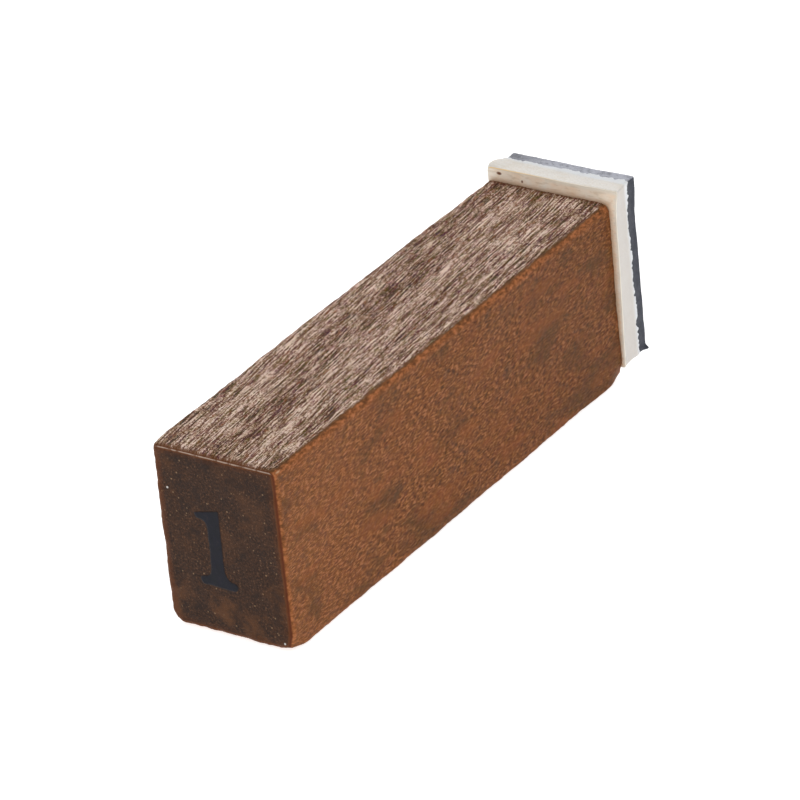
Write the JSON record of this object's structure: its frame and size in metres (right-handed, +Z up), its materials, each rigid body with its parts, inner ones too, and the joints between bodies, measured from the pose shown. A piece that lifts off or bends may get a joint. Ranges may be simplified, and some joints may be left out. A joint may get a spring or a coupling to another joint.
{
  "type": "digit hand stamp",
  "caption": "Small rectangular wooden-handled hand stamp: printed numeral on one end, foam cushion and rubber numeral die glued on the other.",
  "frame": {"origin": "centre of the handle's long narrow face that the stamp rests on, level with the surface under it", "axes": "+Y along the handle from the marked end to the die, +Z up from the rest face, +X across the width"},
  "size_m": [0.0103, 0.0435, 0.0142],
  "materials": {
    "stained_wood": "satin",
    "stamp_ink": "matte",
    "adhesive_film": "satin",
    "cushion_foam": "matte",
    "die_rubber": "matte"
  },
  "bodies": {
    "handle": {"handle_block": "stained_wood", "index_numeral": "stamp_ink", "handle_adhesive_film": "adhesive_film", "foam_cushion": "cushion_foam"},
    "die": {"die_adhesive_film": "adhesive_film", "rubber_die": "die_rubber"}
  },
  "joints": [
    {"name": "die_press", "type": "slide", "parent": "handle", "child": "die", "axis": [0, -1, 0], "range_m": [0, 0.0005], "stiffness_N_per_m": 8000, "deforming": ["foam_cushion"]}
  ]
}
